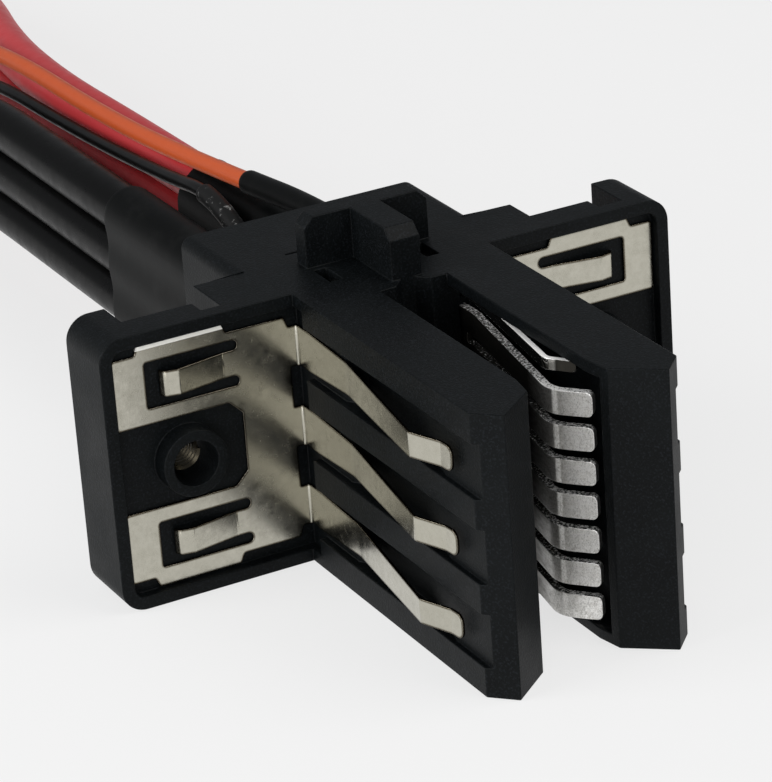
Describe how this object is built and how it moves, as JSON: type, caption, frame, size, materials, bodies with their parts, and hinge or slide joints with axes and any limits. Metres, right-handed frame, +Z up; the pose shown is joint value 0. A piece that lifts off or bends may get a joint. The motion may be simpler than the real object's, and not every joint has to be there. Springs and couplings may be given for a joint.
{
  "type": "power input connector",
  "caption": "Free blade-type power input connector with an open bus bar slot, sprung contacts, earthing springs and a rear cable harness.",
  "frame": {"origin": "middle of the rigid connector's footprint, on the plane of its underside", "axes": "+Z up, -Y towards the mating nose, +Y towards the cables, +X along the flange to the red side"},
  "size_m": [0.0886, 0.3989, 0.0473],
  "materials": {
    "moulding": "fine matte grain",
    "stainless": "satin, rolled",
    "zinc_steel": "bright zinc",
    "contact_plating": "silver plate over copper alloy",
    "lug_plating": "tin plate over copper",
    "black_insulation": "satin",
    "red_insulation": "satin",
    "orange_insulation": "satin",
    "shrink": "matte",
    "plug_moulding": "matte"
  },
  "bodies": {
    "root": {"housing": "moulding", "rear_cover": "moulding", "cover_screw_lower": "zinc_steel", "cover_screw_upper": "zinc_steel", "earthing_spring_left": "stainless", "earthing_spring_right": "stainless", "power_contact_left": "contact_plating", "power_contact_right": "contact_plating", "sense_contact_right": "contact_plating", "sense_contact_left": "contact_plating", "threaded_insert_left": "zinc_steel", "threaded_insert_right": "zinc_steel", "black_sleeve": "shrink", "red_sleeve": "shrink", "orange_wire": "orange_insulation", "black_wire": "black_insulation", "orange_wire_shrink": "shrink", "black_wire_shrink": "shrink", "signal_plug": "plug_moulding", "black_cable_1": "black_insulation", "black_lug_1": "lug_plating", "black_lug_shrink_1": "shrink", "black_cable_2": "black_insulation", "black_lug_2": "lug_plating", "black_lug_shrink_2": "shrink", "black_cable_3": "black_insulation", "black_lug_3": "lug_plating", "black_lug_shrink_3": "shrink", "red_cable_1": "red_insulation", "red_lug_1": "lug_plating", "red_lug_shrink_1": "shrink", "red_cable_2": "red_insulation", "red_lug_2": "lug_plating", "red_lug_shrink_2": "shrink", "red_cable_3": "red_insulation", "red_lug_3": "lug_plating", "red_lug_shrink_3": "shrink"}
  },
  "joints": []
}
